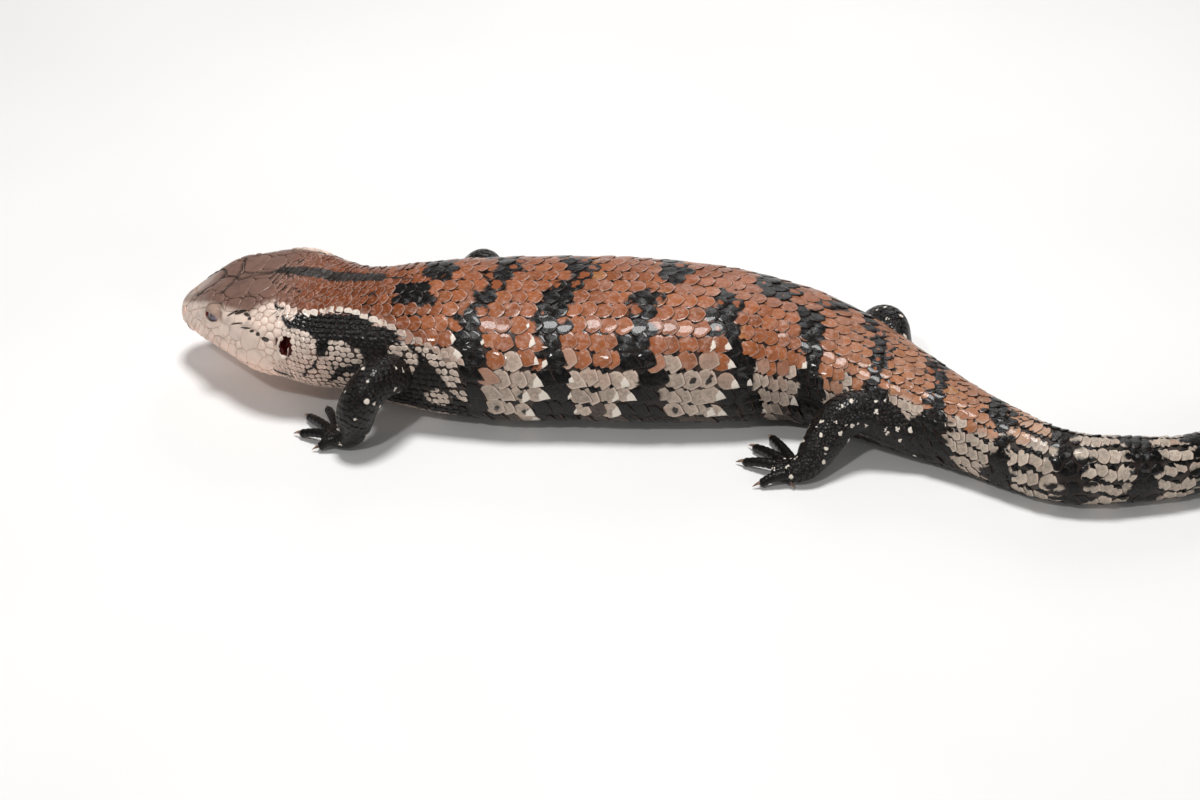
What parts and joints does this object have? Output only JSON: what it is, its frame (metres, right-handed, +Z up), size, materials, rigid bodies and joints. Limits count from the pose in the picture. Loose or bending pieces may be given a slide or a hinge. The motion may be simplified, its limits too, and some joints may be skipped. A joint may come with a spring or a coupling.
{
  "type": "blue-tongued skink",
  "caption": "Life-size still model of a blue-tongued skink resting on its belly, with its head raised, its legs spread and its tail bent to one side.",
  "frame": {"origin": "centre of the model's plan box, on the floor that the belly, feet and tail rest on", "axes": "+X from the head towards the tail, -Y towards the animal's left side, +Z up"},
  "size_m": [0.448, 0.1483, 0.0468],
  "materials": {
    "skin_head": "smooth pinkish-cream head shields with dark seams",
    "skin_back": "glossy rust-red overlapping scales with black bands and pale flanks",
    "skin_tail": "glossy scales in black and pale pinkish-brown rings",
    "skin_legs": "glossy black small scales with a few cream specks",
    "eye": "wet dark eye"
  },
  "bodies": {
    "root": {"head": "skin_head", "neck": "skin_back", "torso": "skin_back", "hips": "skin_back", "tail_base": "skin_tail", "tail_middle": "skin_tail", "tail_end": "skin_tail", "eye_left": "eye", "eye_right": "eye", "foreleg_left_upper": "skin_legs", "foreleg_left_lower": "skin_legs", "forefoot_left": "skin_legs", "foreleg_right_upper": "skin_legs", "foreleg_right_lower": "skin_legs", "forefoot_right": "skin_legs", "hindleg_left_upper": "skin_legs", "hindleg_left_lower": "skin_legs", "hindfoot_left": "skin_legs", "hindleg_right_upper": "skin_legs", "hindleg_right_lower": "skin_legs", "hindfoot_right": "skin_legs"}
  },
  "joints": []
}
